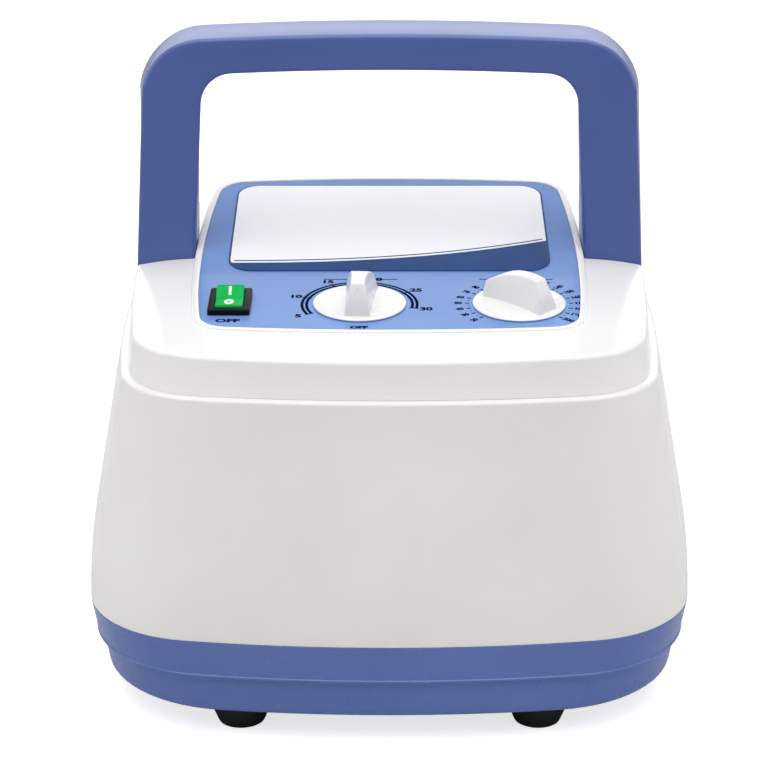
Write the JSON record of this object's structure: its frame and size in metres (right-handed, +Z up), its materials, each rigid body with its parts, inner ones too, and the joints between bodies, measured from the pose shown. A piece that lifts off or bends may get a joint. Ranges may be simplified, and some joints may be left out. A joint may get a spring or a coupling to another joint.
{
  "type": "compression therapy pump",
  "caption": "Table-top air pump with carry handle, rocker switch, timer dial, pressure dial and rear outlets for the hoses of an inflatable sleeve.",
  "frame": {"origin": "on the table, midway between the four feet", "axes": "+Z up, +Y from the controls to the hose outlets, +X to the right when facing the controls"},
  "size_m": [0.229, 0.248, 0.2327],
  "materials": {
    "blue_pan": "gloss moulded ABS",
    "white_housing": "gloss moulded ABS",
    "white_cover": "gloss moulded ABS",
    "blue_handle": "gloss moulded ABS",
    "panel_blue": "printed film",
    "label_print": "printed film",
    "switch_black": "moulded",
    "rocker_green": "moulded",
    "brass_tags": "stamped",
    "knob_white": "moulded",
    "plated_steel": "zinc plated",
    "timer_case": "moulded",
    "cast_alloy": "die cast",
    "foot_rubber": "moulded",
    "fitting_grey": "moulded",
    "inlet_black": "moulded",
    "core_steel": "stacked sheet",
    "coil_wire": "enamelled wire",
    "piston_alloy": "turned",
    "filter_felt": "pressed felt",
    "valve_plastic": "moulded",
    "rotor_plastic": "moulded",
    "hose_clear": "extruded silicone",
    "board_green": "coated laminate",
    "relay_blue": "moulded",
    "terminal_green": "moulded"
  },
  "bodies": {
    "root": {"base_pan": "blue_pan", "lower_housing": "white_housing", "top_cover": "white_cover", "carry_handle": "blue_handle", "panel_overlay": "panel_blue", "label_plate": "label_print", "switch_body": "switch_black", "switch_terminals": "brass_tags", "timer_body": "timer_case", "timer_nut": "plated_steel", "regulator_body": "cast_alloy", "regulator_nut": "plated_steel", "rubber_feet": "foot_rubber", "foot_screws": "plated_steel", "housing_screws": "plated_steel", "handle_screws": "plated_steel", "outlet_panel": "white_housing", "outlet_sockets": "fitting_grey", "outlet_nuts": "fitting_grey", "power_inlet": "inlet_black", "inlet_pins": "plated_steel", "inlet_screws": "plated_steel", "fuse_drawer": "inlet_black", "rubber_mounts": "foot_rubber", "compressor_frame": "cast_alloy", "stator_cores": "core_steel", "stator_coils": "coil_wire", "cylinder_head": "cast_alloy", "head_screws": "plated_steel", "intake_filter": "filter_felt", "distributor_motor": "plated_steel", "distributor_body": "valve_plastic", "distributor_lid": "valve_plastic", "air_hoses": "hose_clear", "supply_hose": "hose_clear", "regulator_hose": "hose_clear", "control_board": "board_green", "board_relay": "relay_blue", "terminal_block": "terminal_green", "board_screws": "plated_steel"},
    "rocker": {"switch_rocker": "rocker_green"},
    "timer": {"timer_knob": "knob_white", "timer_shaft": "plated_steel"},
    "pressure": {"pressure_knob": "knob_white", "regulator_stem": "plated_steel"},
    "piston": {"piston": "piston_alloy"},
    "rotor": {"distributor_rotor": "rotor_plastic"}
  },
  "joints": [
    {"name": "rocker_tip", "type": "hinge", "parent": "root", "child": "rocker", "pos_m": [-0.0571, -0.05949, 0.14255], "axis": [1, 0, 0], "range_deg": [-24, 0]},
    {"name": "timer_turn", "type": "hinge", "parent": "root", "child": "timer", "pos_m": [-0.0107, -0.05959, 0.14375], "axis": [0, -0.0872, 0.9962], "range_deg": [-280, 0]},
    {"name": "pressure_turn", "type": "hinge", "parent": "root", "child": "pressure", "pos_m": [0.0465, -0.05959, 0.14375], "axis": [0, -0.0872, 0.9962], "range_deg": [0, 262]},
    {"name": "piston_slide", "type": "slide", "parent": "root", "child": "piston", "axis": [1, 0, 0], "range_m": [-0.003, 0.003]},
    {"name": "rotor_spin", "type": "hinge", "parent": "root", "child": "rotor", "pos_m": [-0.043, -0.076, 0], "axis": [0, 0, 1], "continuous": true}
  ]
}
